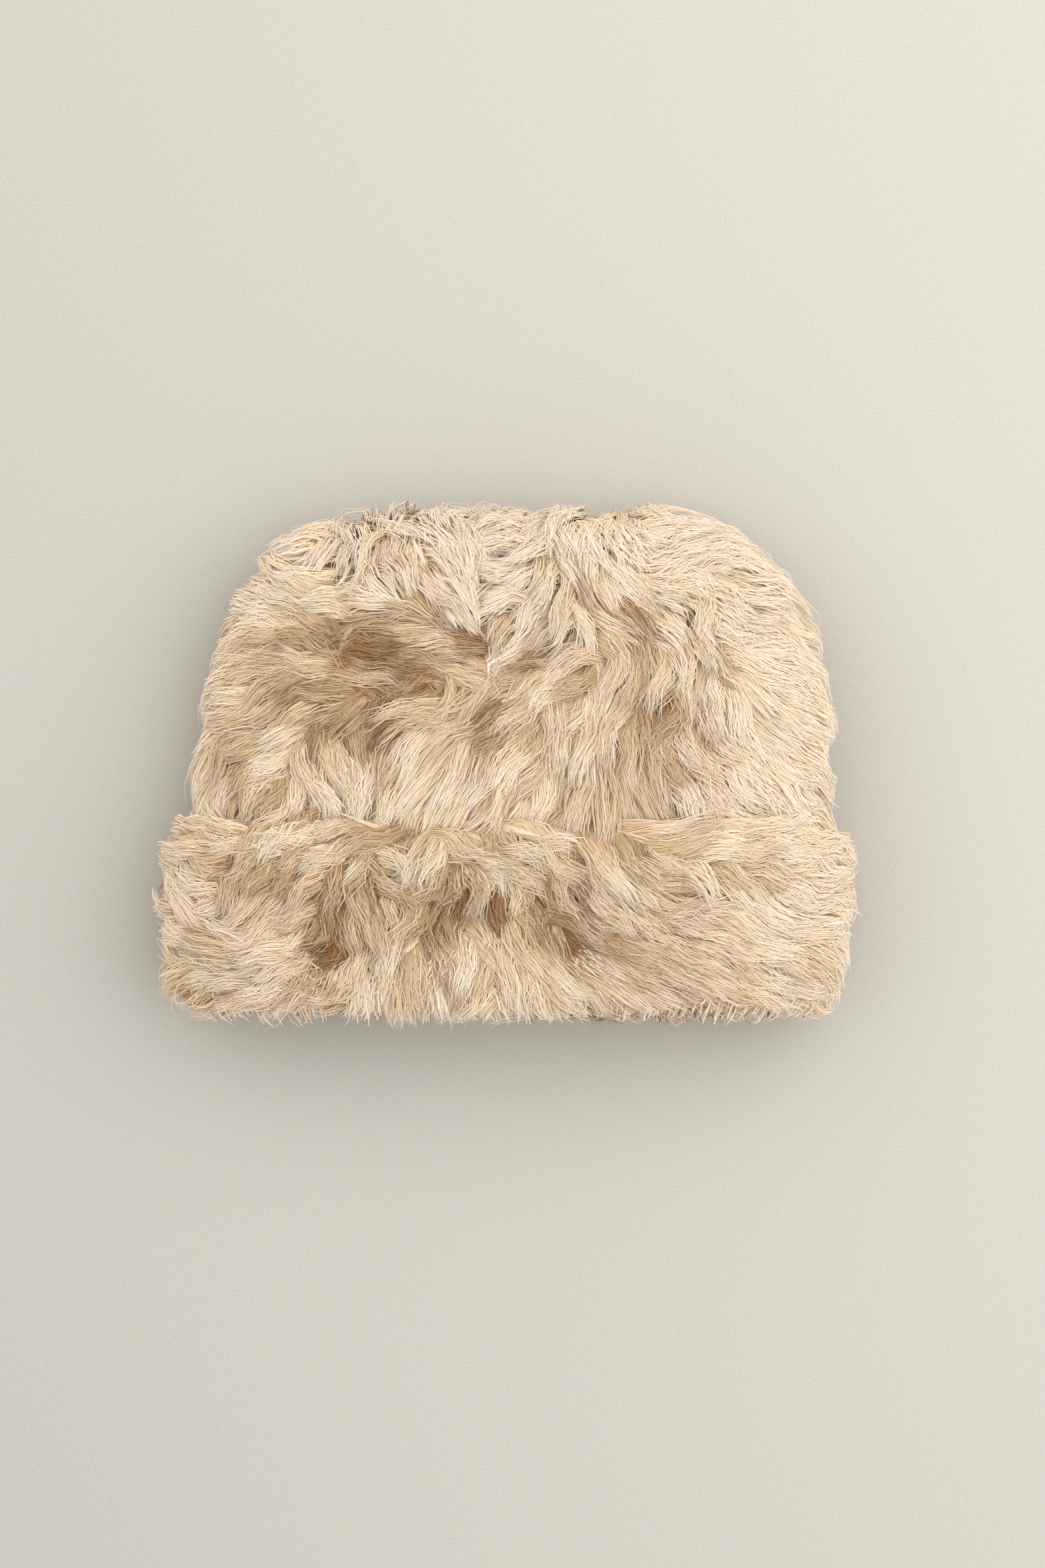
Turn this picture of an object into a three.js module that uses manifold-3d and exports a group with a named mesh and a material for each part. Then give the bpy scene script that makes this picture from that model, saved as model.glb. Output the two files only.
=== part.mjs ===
// A deep-pile lambskin hat with a turned-up cuff, lying on its back on a level surface.
// X runs across the hat, Y from its mouth to the top of its crown, Z up from the surface. All sizes are in millimetres.
import * as THREE from "three";
import { mergeVertices } from "three/addons/utils/BufferGeometryUtils.js";
import Module from "manifold-3d";

const wasm = await Module();
wasm.setup();

// Driving dimensions
const leather = 2; // thickness of the lambskin under its wool
const pieceGap = 0.35; // clearance kept between neighbouring pieces
const cuffTopY = -22; // height of the cuff's upper edge along the hat
const crownBacking = 11; // dense wool that stands on the crown's skin
const crownPile = 15.5; // height of the backs of the crown's locks
const cuffBacking = 14;
const cuffPile = 19.5;
const pressedShare = 0.6; // share of the pile's height left under the hat, where it rests
const cuffStandOff = 7; // how far the cuff's upper edge stands off the crown on the side that faces up
const cuffRestOff = 1.5; // and on the side that the hat rests on
const mouthFringe = 9; // wool that hangs past the folded mouth
const cuffEdgeShare = 0.3; // thickness left at the cuff's rolled upper edge
const mouthLag = 8; // how much further the lower lip of the mouth reaches
const mouthLagPlace = 62; // X of the middle of that reach
const mouthLagReach = 62;
const boxiness = 2.45; // exponent of the flattened oval sections, 2 for an ellipse

// Sections of the crown's skin from its mouth to its top. left and right are half widths, up and down the heights above
// and below the middle line, and middle is the height of that line over the surface that the hat rests on.
const crownSections = [
  { y: -95, left: 134, right: 132, up: 25, down: 21, middle: 31 },
  { y: -62, left: 136, right: 135, up: 28, down: 22, middle: 31 },
  { y: -24, left: 129, right: 132, up: 31, down: 22, middle: 30 },
  { y: 14, left: 125, right: 132, up: 32, down: 23, middle: 29 },
  { y: 44, left: 119, right: 128, up: 31, down: 23, middle: 29 },
  { y: 68, left: 108, right: 118, up: 28, down: 22, middle: 28 },
  { y: 84, left: 92, right: 104, up: 22, down: 19, middle: 27 },
  { y: 95, left: 70, right: 85, up: 14, down: 13, middle: 26 },
  { y: 99, left: 46, right: 64, up: 5, down: 5, middle: 25 },
];

// Hollows pressed into the side that faces up: where the top of the crown slumps over its side, and where the cuff dips
const dents = [
  { x: -48, y: 38, wide: 52, tall: 11, depth: 5 },
  { x: 22, y: 50, wide: 40, tall: 12, depth: 4 },
  { x: 100, y: 30, wide: 14, tall: 40, depth: 3 },
  { x: -16, y: -62, wide: 40, tall: 15, depth: 3.5 },
  { x: 32, y: -74, wide: 36, tall: 12, depth: 3.5 },
];

// The way the wool lies on the side that faces up, from root to tip. turn is in degrees, 0 to +X and 90 to the crown's top.
const crownLay = [
  { x: -108, y: 84, turn: 118 },
  { x: -92, y: 102, turn: 100 },
  { x: -62, y: 92, turn: -82 },
  { x: -30, y: 78, turn: -62 },
  { x: 12, y: 68, turn: -128 },
  { x: 34, y: 76, turn: -68 },
  { x: 52, y: 96, turn: -80 },
  { x: 92, y: 88, turn: -12 },
  { x: 124, y: 72, turn: -32 },
  { x: -126, y: 50, turn: 178 },
  { x: -90, y: 44, turn: 172 },
  { x: -46, y: 46, turn: -30 },
  { x: -20, y: 34, turn: -60 },
  { x: 64, y: 56, turn: -62 },
  { x: 86, y: 54, turn: -82 },
  { x: 122, y: 46, turn: -12 },
  { x: -112, y: 22, turn: -168 },
  { x: -134, y: -6, turn: -122 },
  { x: -70, y: 20, turn: -172 },
  { x: -14, y: 22, turn: -140 },
  { x: 30, y: 10, turn: -116 },
  { x: 70, y: 24, turn: -112 },
  { x: 128, y: 22, turn: -36 },
  { x: -90, y: -8, turn: -150 },
  { x: -66, y: -4, turn: -62 },
  { x: -36, y: -6, turn: -118 },
  { x: 6, y: -6, turn: -116 },
  { x: 54, y: -10, turn: -86 },
  { x: 92, y: -8, turn: -54 },
  { x: 130, y: -10, turn: -36 },
];
const cuffLay = [
  { x: -146, y: -32, turn: 158 },
  { x: -154, y: -62, turn: 150 },
  { x: -150, y: -92, turn: -168 },
  { x: -66, y: -28, turn: 178 },
  { x: -98, y: -36, turn: -150 },
  { x: -110, y: -56, turn: -122 },
  { x: -84, y: -50, turn: -138 },
  { x: -62, y: -62, turn: -118 },
  { x: -76, y: -86, turn: -140 },
  { x: -108, y: -96, turn: -160 },
  { x: -50, y: -84, turn: -94 },
  { x: -34, y: -44, turn: -14 },
  { x: -22, y: -58, turn: -108 },
  { x: -6, y: -40, turn: -24 },
  { x: -2, y: -60, turn: -72 },
  { x: 8, y: -30, turn: -30 },
  { x: 46, y: -46, turn: -62 },
  { x: 84, y: -28, turn: 2 },
  { x: 72, y: -58, turn: -14 },
  { x: 104, y: -62, turn: -28 },
  { x: 140, y: -50, turn: -12 },
  { x: 150, y: -78, turn: -30 },
  { x: 38, y: -76, turn: -18 },
  { x: 82, y: -84, turn: -26 },
  { x: 16, y: -94, turn: -82 },
  { x: -24, y: -92, turn: -86 },
];
const layReach = 18; // how far a row of these tables is felt

// Locks: the places of their rounds along the hat, how far apart they are in a round, and their sizes.
// pattern picks the chance differences between them.
const crownLocks = { from: -6, to: 97, rounds: 7, spacing: 28, long: 40, wide: 30, pattern: 100 };
const cuffLocks = { from: -92, to: -36, rounds: 4, spacing: 29, long: 42, wide: 32, pattern: 900 };

// A lock's sections from its root: width is a share of its own, back and edges are shares of the pile's height
const lockRings = [
  { along: 0, width: 0.6, back: 0.62, edges: 0.36 },
  { along: 0.4, width: 1, back: 1, edges: 0.52 },
  { along: 0.76, width: 0.7, back: 0.98, edges: 0.58 },
];
const lockTipHeight = 0.76;
const lockCurl = 4; // how far a lock swings to one side and back
const lockWander = 20; // degrees by which neighbouring locks may differ in the way they lie
const lockGrowth = { least: 0.82, most: 1.18 }; // sizes of single locks against their layout's
const lockScatter = { along: 7, around: 0.01 }; // how far their roots stray, in mm and in turns

// The rounded wool that wraps the folded mouth
const cuffLip = [
  { share: 0.42, drop: mouthFringe },
  { share: 0.86, drop: 0.7 * mouthFringe },
];

const sidesAround = 32;
const grain = 0.01; // the finest step between points of the wool
const farAway = 600; // larger than the hat
const hatLength = crownSections.at(-1).y - crownSections[0].y;
const colours = { wool: 0xe3cba6, skin: 0xd9c6a8 };

// A repeatable number from 0 to 1 for each place in a pattern
function wander(a, b = 0) {
  const value = Math.sin(a * 127.1 + b * 311.7) * 43758.5453;
  return value - Math.floor(value);
}

function smooth(low, high, value) {
  const t = THREE.MathUtils.clamp((value - low) / (high - low), 0, 1);
  return t * t * (3 - 2 * t);
}

// The section at place v, from 0 at the mouth to 1 at the top, on a smooth curve through the rows of the table.
// Places under 0 lie past the mouth, where the last section goes straight on.
function sectionAt(v) {
  const last = crownSections.length - 1;
  const place = THREE.MathUtils.clamp(v, 0, 1) * last;
  const i = Math.min(Math.floor(place), last - 1);
  const t = place - i;
  const row = (k) => crownSections[THREE.MathUtils.clamp(k, 0, last)];
  const section = {};
  for (const key of Object.keys(crownSections[0])) {
    const [a, b, c, d] = [row(i - 1)[key], row(i)[key], row(i + 1)[key], row(i + 2)[key]];
    const bend = (c - a) * t + (2 * a - 5 * b + 4 * c - d) * t * t + (3 * b - a - 3 * c + d) * t ** 3;
    section[key] = b + bend / 2;
  }
  section.y += Math.min(v, 0) * hatLength;
  return section;
}

// The place v where the skin is at height y along the hat
function placeOf(y) {
  let low = 0;
  let high = 1;
  for (let i = 0; i < 24; i++) {
    const middle = (low + high) / 2;
    if (sectionAt(middle).y < y) low = middle;
    else high = middle;
  }
  return (low + high) / 2;
}

// A point of the skin's outer face: around is 0 at +X, 0.25 on top, 0.5 at -X and 0.75 underneath
function skinPoint(v, around) {
  const s = sectionAt(v);
  const angle = around * 2 * Math.PI;
  const bulge = (value) => Math.sign(value) * Math.abs(value) ** (2 / boxiness);
  const across = bulge(Math.cos(angle));
  const upward = bulge(Math.sin(angle));
  const x = across * (across > 0 ? s.right : s.left);
  let z = s.middle + upward * (upward > 0 ? s.up : s.down);
  const reach = Math.exp(-(((x - mouthLagPlace) / mouthLagReach) ** 2));
  const y = s.y - mouthLag * reach * Math.max(0, -upward) * (1 - v) ** 3;
  for (const dent of dents) {
    const away = ((x - dent.x) / dent.wide) ** 2 + ((y - dent.y) / dent.tall) ** 2;
    z -= Math.max(0, upward) * dent.depth * Math.exp(-away);
  }
  return new THREE.Vector3(x, y, z);
}

function facing(v, around) {
  const step = 0.01;
  const high = Math.min(Math.max(v, 0) + step, 1);
  const along = skinPoint(high, around).sub(skinPoint(Math.max(high - 2 * step, 0), around));
  const sideways = skinPoint(v, around + step).sub(skinPoint(v, around - step));
  return along.cross(sideways).normalize();
}

// A point at distance out from the crown's skin, and drop further down past the mouth
function place(v, around, out, drop = 0) {
  const point = skinPoint(v, around).addScaledVector(facing(v, around), out);
  point.y -= drop;
  return point;
}

// 1 where the hat faces up, 0 at its sides, -1 where it rests
const upwardness = (around) => Math.sin(around * 2 * Math.PI);

// How much of the pile's height is left, less where the hat rests on it
const pileShare = (around) => 1 - (1 - pressedShare) * smooth(0.25, 0.9, -upwardness(around));

// Distance from the crown's skin to the cuff's skin, from nothing at the fold to its most at the upper edge
function cuffOff(v, around) {
  const most = THREE.MathUtils.lerp(cuffRestOff, cuffStandOff, smooth(-0.8, 0.6, upwardness(around)));
  return pieceGap + (most - pieceGap) * smooth(0, placeOf(cuffTopY), v);
}

function ring(v, out, drop = 0) {
  return Array.from({ length: sidesAround }, (_, i) => {
    const around = i / sidesAround;
    return place(v, around, out(v, around), drop);
  });
}

function geometryOf(points, faces) {
  const geometry = new THREE.BufferGeometry();
  geometry.setAttribute("position", new THREE.Float32BufferAttribute(points.flatMap((p) => [p.x, p.y, p.z]), 3));
  geometry.setIndex(faces.flat());
  return geometry;
}

// The faces between ring a and ring b, each a first index and a number of points
function band(a, b, count) {
  const faces = [];
  for (let i = 0; i < count; i++) {
    const j = (i + 1) % count;
    faces.push([a + i, b + j, a + j], [a + i, b + i, b + j]);
  }
  return faces;
}

function fan(start, centre, count, turned) {
  return Array.from({ length: count }, (_, i) => {
    const j = (i + 1) % count;
    return turned ? [start + i, start + j, centre] : [start + j, start + i, centre];
  });
}

function middleOf(points) {
  return points.reduce((sum, p) => sum.add(p), new THREE.Vector3()).divideScalar(points.length);
}

// A closed body through rings that run from the mouth to the top, with both ends filled
function filledBody(rings) {
  const count = rings[0].length;
  const points = rings.flat();
  const faces = rings.slice(1).flatMap((_, i) => band(i * count, (i + 1) * count, count));
  const last = (rings.length - 1) * count;
  points.push(middleOf(rings[0]), middleOf(rings.at(-1)));
  faces.push(...fan(0, points.length - 2, count, true));
  faces.push(...fan(last, points.length - 1, count, false));
  return geometryOf(points, faces);
}

// A cup: an outer and an inner face, each closed at the top, joined by the edge of the mouth
function cupBody(outer, inner) {
  const count = outer[0].length;
  const points = [...outer.flat(), ...inner.flat(), middleOf(outer.at(-1)), middleOf(inner.at(-1))];
  const shift = outer.length * count;
  const faces = outer.slice(1).flatMap((_, i) => band(i * count, (i + 1) * count, count));
  faces.push(...inner.slice(1).flatMap((_, i) => band(shift + (i + 1) * count, shift + i * count, count)));
  faces.push(...band(shift, 0, count));
  faces.push(...fan(shift - count, points.length - 2, count, false));
  faces.push(...fan(shift + (inner.length - 1) * count, points.length - 1, count, true));
  return geometryOf(points, faces);
}

// A closed tube of any section, through rings that come back to the first
function loopBody(rings) {
  const count = rings[0].length;
  const faces = rings.flatMap((_, i) => band(i * count, ((i + 1) % rings.length) * count, count));
  return geometryOf(rings.flat(), faces);
}

function solidOf(geometry) {
  const bare = geometry.clone();
  bare.deleteAttribute("normal");
  bare.deleteAttribute("uv");
  const merged = mergeVertices(bare, 1e-4);
  const triVerts = new Uint32Array(merged.index.array);
  const mesh = new wasm.Mesh({ numProp: 3, vertProperties: merged.attributes.position.array, triVerts });
  return new wasm.Manifold(mesh);
}

// A solid's mesh with its points set to a fine grid, so that no edge is too short to be told from a point
function geometryFrom(solid) {
  const mesh = solid.getMesh();
  const snapped = Float32Array.from(mesh.vertProperties, (value) => Math.round(value / grain) * grain);
  const geometry = new THREE.BufferGeometry();
  geometry.setAttribute("position", new THREE.BufferAttribute(snapped, 3));
  geometry.setIndex(new THREE.BufferAttribute(mesh.triVerts, 1));
  const merged = mergeVertices(geometry, grain / 10);
  const corners = Array.from(merged.index.array);
  const faces = Array.from({ length: corners.length / 3 }, (_, i) => corners.slice(3 * i, 3 * i + 3));
  merged.setIndex(faces.filter((face) => new Set(face).size === 3).flat());
  return merged;
}

// The direction in which the wool lies at a point of the skin, as a tangent of the surface
function layAt(point, normal, rows, nudge) {
  const lay = new THREE.Vector3();
  for (const row of rows) {
    const away = ((point.x - row.x) ** 2 + (point.y - row.y) ** 2) / layReach ** 2;
    const weight = Math.exp(-away / 2) + 1e-4 / (1 + away);
    const angle = THREE.MathUtils.degToRad(row.turn);
    lay.x += weight * Math.cos(angle);
    lay.y += weight * Math.sin(angle);
  }
  lay.normalize();
  const resting = smooth(0.1, 0.7, -normal.z);
  lay.lerp(new THREE.Vector3(Math.sign(point.x) * 0.35, -1, 0).normalize(), resting);
  const sideways = smooth(0.35, 0.95, Math.hypot(normal.x, normal.y));
  lay.z -= 0.7 * sideways * (1 - resting);
  lay.applyAxisAngle(normal, nudge);
  return lay.projectOnPlane(normal).normalize();
}

// One lock of wool: it rises out of the backing, lies over along the lay and ends in a point
function lockSolid(v, around, rows, size, base, pile, seed) {
  const nudge = THREE.MathUtils.degToRad(lockWander) * (2 * wander(seed, 1) - 1);
  const grow = THREE.MathUtils.lerp(lockGrowth.least, lockGrowth.most, wander(seed, 2));
  const curl = lockCurl * (2 * wander(seed, 5) - 1);
  const steps = 6;
  const stations = [{ v, around }];
  for (let i = 0; i < steps; i++) {
    const at = stations[i];
    at.lay = layAt(skinPoint(at.v, at.around), facing(at.v, at.around), rows, nudge);
    stations.push({ ...stepAlong(at, at.lay, (size.long * grow) / steps), lay: at.lay });
  }
  const raised = (at, share) => place(at.v, at.around, base(at.v, at.around) + share * pile(at.v, at.around));
  const points = [];
  for (const { along, width, back, edges } of lockRings) {
    const station = stations[Math.round(along * steps)];
    const side = new THREE.Vector3().crossVectors(facing(station.v, station.around), station.lay);
    const half = (size.wide / 2) * width * grow;
    const swing = curl * Math.sin(along * 2 * Math.PI);
    points.push(raised(walk(station, side, swing + half), edges));
    points.push(raised(walk(station, side, swing), back));
    points.push(raised(walk(station, side, swing - half), edges));
  }
  points.push(raised(stations[steps], lockTipHeight));
  const count = 3;
  const faces = [
    ...band(count, 0, count),
    ...band(2 * count, count, count),
    ...fan(2 * count, 3 * count, count, true),
    [2, 1, 0],
  ];
  return solidOf(geometryOf(points, faces));
}

// Moves a place on the skin by a length along a tangent
function stepAlong(at, direction, length) {
  const step = 0.004;
  const here = skinPoint(at.v, at.around);
  const high = Math.min(at.v + step, 1);
  const low = high - 2 * step;
  const alongV = skinPoint(high, at.around).sub(skinPoint(low, at.around)).divideScalar(high - low);
  const alongTurn = skinPoint(at.v, at.around + step).sub(here).divideScalar(step);
  const wanted = direction.clone().multiplyScalar(length);
  const [a, b, c] = [alongV.dot(alongV), alongV.dot(alongTurn), alongTurn.dot(alongTurn)];
  const [d, e] = [alongV.dot(wanted), alongTurn.dot(wanted)];
  const scale = a * c - b * b;
  return {
    v: THREE.MathUtils.clamp(at.v + (d * c - b * e) / scale, -mouthFringe / hatLength, 1),
    around: at.around + (a * e - b * d) / scale,
  };
}

// Moves a place over the curved skin in short steps
function walk(at, direction, length) {
  const steps = 4;
  let here = at;
  for (let i = 0; i < steps; i++) {
    const tangent = direction.clone().projectOnPlane(facing(here.v, here.around)).normalize();
    here = stepAlong(here, tangent, length / steps);
  }
  return here;
}

// Places spread round the hat at one height, evenly but further apart where the wool is pressed
function roundOf(v, spacing, shift) {
  const samples = 160;
  const lengths = [0];
  for (let i = 1; i <= samples; i++) {
    const chord = skinPoint(v, i / samples).distanceTo(skinPoint(v, (i - 1) / samples));
    lengths.push(lengths[i - 1] + chord * pileShare(i / samples));
  }
  const count = Math.max(3, Math.round(lengths[samples] / spacing));
  return Array.from({ length: count }, (_, k) => {
    const wanted = ((k + shift) / count) * lengths[samples];
    const i = lengths.findIndex((length) => length > wanted);
    return (i - 1 + (wanted - lengths[i - 1]) / (lengths[i] - lengths[i - 1])) / samples;
  });
}

// All the locks of a piece. base and pile are the heights over the crown's skin of the wool's foot and of its pile.
function locksOf(layout, rows, base, pile) {
  const locks = [];
  for (let r = 0; r < layout.rounds; r++) {
    const y = THREE.MathUtils.lerp(layout.from, layout.to, r / (layout.rounds - 1));
    const arounds = roundOf(placeOf(y), layout.spacing, 0.2 + 0.5 * (r % 2));
    arounds.forEach((around, k) => {
      const seed = layout.pattern + 60 * r + k;
      const v = placeOf(y + lockScatter.along * (wander(seed, 3) - 0.5));
      const turned = around + lockScatter.around * (wander(seed, 4) - 0.5);
      locks.push(lockSolid(v, turned, rows, layout, base, pile, seed));
    });
  }
  return locks;
}

// The space on one side of a level plane, wide enough for the whole hat
function halfSpace(axis, at, sign) {
  const geometry = new THREE.BoxGeometry(farAway, farAway, farAway);
  geometry.translate(...["x", "y", "z"].map((name) => (name === axis ? at + (sign * farAway) / 2 : 0)));
  return solidOf(geometry);
}

// The cuff's thickness along it, from 1 over most of it to its rolled upper edge, where share is 1
function cuffRound(share) {
  const past = THREE.MathUtils.clamp((share - 0.6) / 0.4, 0, 1);
  return THREE.MathUtils.lerp(cuffEdgeShare, 1, Math.sqrt(1 - past * past));
}

const steady = (value) => () => value;
const spaced = (low, high, count) => Array.from({ length: count }, (_, i) => low + ((high - low) * i) / (count - 1));

// Where the skins have their sections, from the mouth to the cuff's edge and on to the top
const cuffPlaces = spaced(0, placeOf(cuffTopY - 1), 4);
const crownPlaces = [...cuffPlaces, 0.4, 0.55, 0.69, 0.81, 0.91, 1];

function crownSkin() {
  const outer = crownPlaces.map((v) => ring(v, steady(0)));
  const inner = crownPlaces.map((v) => ring(v, steady(-leather)));
  inner[inner.length - 1].forEach((p) => (p.y -= leather / 2));
  return cupBody(outer, inner);
}

// The cuff's skin: a band outside the crown's, whose lower edge folds in under the crown's edge
function cuffSkin() {
  const places = cuffPlaces;
  const outer = (v, around) => cuffOff(v, around) + leather;
  const rings = [...places].reverse().map((v) => ring(v, outer));
  rings.push(ring(0, outer, pieceGap + leather));
  rings.push(ring(0, steady(-leather), pieceGap + leather));
  rings.push(ring(0, steady(-leather), pieceGap));
  rings.push(...places.map((v, i) => ring(v, cuffOff, i ? 0 : pieceGap)));
  return loopBody(rings.reverse());
}

function crownWool() {
  const bottom = placeOf(cuffTopY) - 0.02;
  const places = [...spaced(bottom, 0.86, 6), 0.93, 1];
  const backing = (v, around) => crownBacking * pileShare(around);
  const pile = (v, around) => crownPile * pileShare(around);
  const body = solidOf(filledBody(places.map((v) => ring(v, backing))));
  const locks = locksOf(crownLocks, crownLay, steady(0), pile);
  const hollow = solidOf(filledBody(crownPlaces.map((v) => ring(v, steady(pieceGap)))));
  return wasm.Manifold.union([body, ...locks])
    .subtract(hollow)
    .subtract(halfSpace("y", cuffTopY + pieceGap / 2, -1))
    .subtract(halfSpace("z", 0, -1));
}

function cuffWool() {
  const top = placeOf(cuffTopY);
  const off = (v, around) => cuffOff(v, around) + leather;
  const thickness = (v, around) => pileShare(around) * cuffRound(v / top);
  const backing = (v, around) => off(v, around) + cuffBacking * thickness(v, around);
  const pile = (v, around) => cuffPile * thickness(v, around);
  const lips = cuffLip.map(({ share, drop }) => ring(0, (v, around) => share * backing(v, around), drop));
  const rings = spaced(0, 1.02, 6).map((share) => ring(share * top, backing));
  const body = solidOf(filledBody([...lips, ...rings]));
  const locks = locksOf(cuffLocks, cuffLay, off, pile);
  const clear = (v, around) => off(v, around) + pieceGap;
  const fold = leather + 2 * pieceGap;
  const hollowRings = [
    ring(0, steady(0), 60),
    ring(0, steady(0), fold + pieceGap / 2),
    ring(0, clear, fold),
    ...cuffPlaces.map((v) => ring(v, clear)),
    ring(top + 0.02, clear),
  ];
  return wasm.Manifold.union([body, ...locks])
    .subtract(solidOf(filledBody(hollowRings)))
    .subtract(halfSpace("y", cuffTopY - pieceGap / 2, 1))
    .subtract(halfSpace("z", 0, -1));
}

function largestOf(solid) {
  return solid.decompose().sort((a, b) => b.volume() - a.volume())[0];
}

function piece(name, geometry, colour, roughness) {
  const material = new THREE.MeshStandardMaterial({ color: colour, roughness, metalness: 0, flatShading: true });
  const mesh = new THREE.Mesh(geometry, material);
  mesh.name = name;
  return mesh;
}

const crown = new THREE.Group();
crown.add(piece("crown_skin", crownSkin(), colours.skin, 0.8));
crown.add(piece("crown_wool", geometryFrom(largestOf(crownWool())), colours.wool, 0.9));

const cuff = new THREE.Group();
cuff.add(piece("cuff_skin", cuffSkin(), colours.skin, 0.8));
cuff.add(piece("cuff_wool", geometryFrom(largestOf(cuffWool())), colours.wool, 0.9));

const hat = new THREE.Group();
hat.add(crown, cuff);
const reach = new THREE.Box3().setFromObject(hat);
const middle = reach.getCenter(new THREE.Vector3());
hat.position.set(-middle.x, -middle.y, -reach.min.z);
export default hat;
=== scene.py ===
import math

import bpy
import numpy as np
from bpy.props import FloatProperty, FloatVectorProperty, IntProperty, PointerProperty
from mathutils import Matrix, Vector
from mathutils.bvhtree import BVHTree


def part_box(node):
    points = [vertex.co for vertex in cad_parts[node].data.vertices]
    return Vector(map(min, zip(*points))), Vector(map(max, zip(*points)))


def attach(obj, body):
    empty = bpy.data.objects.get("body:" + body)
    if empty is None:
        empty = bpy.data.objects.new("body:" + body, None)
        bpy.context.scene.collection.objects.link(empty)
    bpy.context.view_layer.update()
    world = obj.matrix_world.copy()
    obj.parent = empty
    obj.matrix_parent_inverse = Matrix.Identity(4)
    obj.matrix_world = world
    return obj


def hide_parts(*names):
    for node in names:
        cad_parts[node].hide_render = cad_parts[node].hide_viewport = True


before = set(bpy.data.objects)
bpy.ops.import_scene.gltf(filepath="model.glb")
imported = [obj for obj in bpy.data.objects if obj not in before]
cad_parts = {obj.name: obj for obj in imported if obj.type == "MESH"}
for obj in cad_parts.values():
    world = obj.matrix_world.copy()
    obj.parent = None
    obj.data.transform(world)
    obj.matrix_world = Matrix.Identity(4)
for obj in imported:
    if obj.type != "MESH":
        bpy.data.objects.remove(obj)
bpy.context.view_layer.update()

bl_info = {
    "name": "Lambskin Hat",
    "version": (1, 0, 0),
    "blender": (4, 5, 0),
    "location": "3D View > Sidebar > Lambskin Hat",
    "description": "Grows the wool of a lambskin hat with a turned-up cuff, and sets it on a pale ground",
    "category": "Add Mesh",
}

MM = 0.001

# The photo's size in pixels, its scale, and the pixel that lies over the middle of the hat
PHOTO_WIDE = 1568
PHOTO_TALL = 2352
PHOTO_MM = 0.2925
HAT_MIDDLE_PX = (758.6, 1145.5)

# How the wool lies on the side that faces up: a place in the photo, and the way from root to tip in
# degrees, with 0 to the photo's right and 90 to its top
CROWN_LAY = [
    # px, py, turn
    (340, 900, 140), (385, 860, 135), (425, 810, 150), (455, 805, -160), (490, 800, -115),
    (540, 800, -80), (620, 830, -85), (660, 880, -60), (700, 800, -110), (760, 870, 180),
    (810, 930, -125), (860, 900, -65), (900, 800, -90), (930, 830, -85), (945, 900, -60), (1000, 860, 20),
    (1080, 830, -10), (1100, 800, -15), (1150, 850, -20), (1190, 900, -35), (1180, 880, -30),
    (1215, 950, -30), (330, 980, 178), (330, 1040, -170), (300, 1090, -165), (290, 1140, -125),
    (300, 1180, -115), (370, 1000, -175), (370, 1060, -170), (400, 1110, -170), (400, 1160, -160),
    (330, 1140, -130), (470, 965, 160), (600, 985, -5), (560, 1010, -8), (690, 1030, -12),
    (820, 1005, 185), (420, 1050, -135), (500, 1070, 190), (600, 1060, -175), (700, 1060, -165),
    (740, 1080, -150), (780, 1060, -145), (820, 1080, -125), (860, 1060, -130), (860, 1120, -112),
    (920, 1060, -112), (960, 1100, -118), (1000, 1040, -115), (1040, 1100, -105), (1080, 1060, -95),
    (600, 1140, -115), (650, 1150, -120), (540, 1140, -75), (500, 1120, -60), (470, 1150, -45),
    (440, 1130, -160), (700, 1160, -118), (760, 1160, -118), (820, 1180, -108), (900, 1180, -95),
    (960, 1180, -60), (1000, 1180, -65), (1060, 1180, -55), (350, 1200, -100), (450, 1200, -120),
    (930, 940, -30), (980, 950, -60), (1000, 1000, -100), (960, 1000, -85), (1050, 960, -80),
    (1120, 960, 0), (1180, 960, -5), (1110, 1010, -20), (1160, 1010, -20), (1130, 1060, -35),
    (1200, 1060, -32), (1240, 1040, -50), (1150, 1130, -40), (1230, 1130, -38), (1100, 1150, -52),
    (1200, 1190, -35), (1130, 1200, -40),
]
CUFF_LAY = [
    # px, py, turn
    (250, 1270, 158), (290, 1300, 152), (320, 1250, 155), (260, 1350, 150), (300, 1390, 155),
    (270, 1480, -162), (520, 1235, 180), (430, 1250, -160), (390, 1290, -135), (370, 1330, -125),
    (470, 1310, -140), (440, 1360, -140), (520, 1330, -115), (515, 1370, -110), (480, 1410, -140),
    (510, 1440, -135), (460, 1450, -155), (420, 1430, -165), (350, 1430, 170), (540, 1380, -85),
    (580, 1440, -95), (620, 1440, -88), (650, 1440, -75), (600, 1400, -120), (600, 1300, -10),
    (640, 1290, -160), (670, 1330, -110), (700, 1270, -20), (740, 1250, -35), (740, 1340, -75),
    (780, 1240, -28), (900, 1290, -65), (930, 1310, -58), (950, 1330, -50), (1060, 1240, 3),
    (1000, 1330, -10), (1100, 1340, -28), (1200, 1350, -15), (1270, 1380, -30), (1100, 1400, -35),
    (1000, 1400, -25), (900, 1400, -20), (1150, 1450, -22), (1250, 1440, -28), (960, 1440, -22),
    (880, 1460, -30), (830, 1440, -60), (800, 1470, -90), (700, 1480, -90), (500, 1490, -150),
    (400, 1500, -160), (300, 1480, -155),
]

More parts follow.
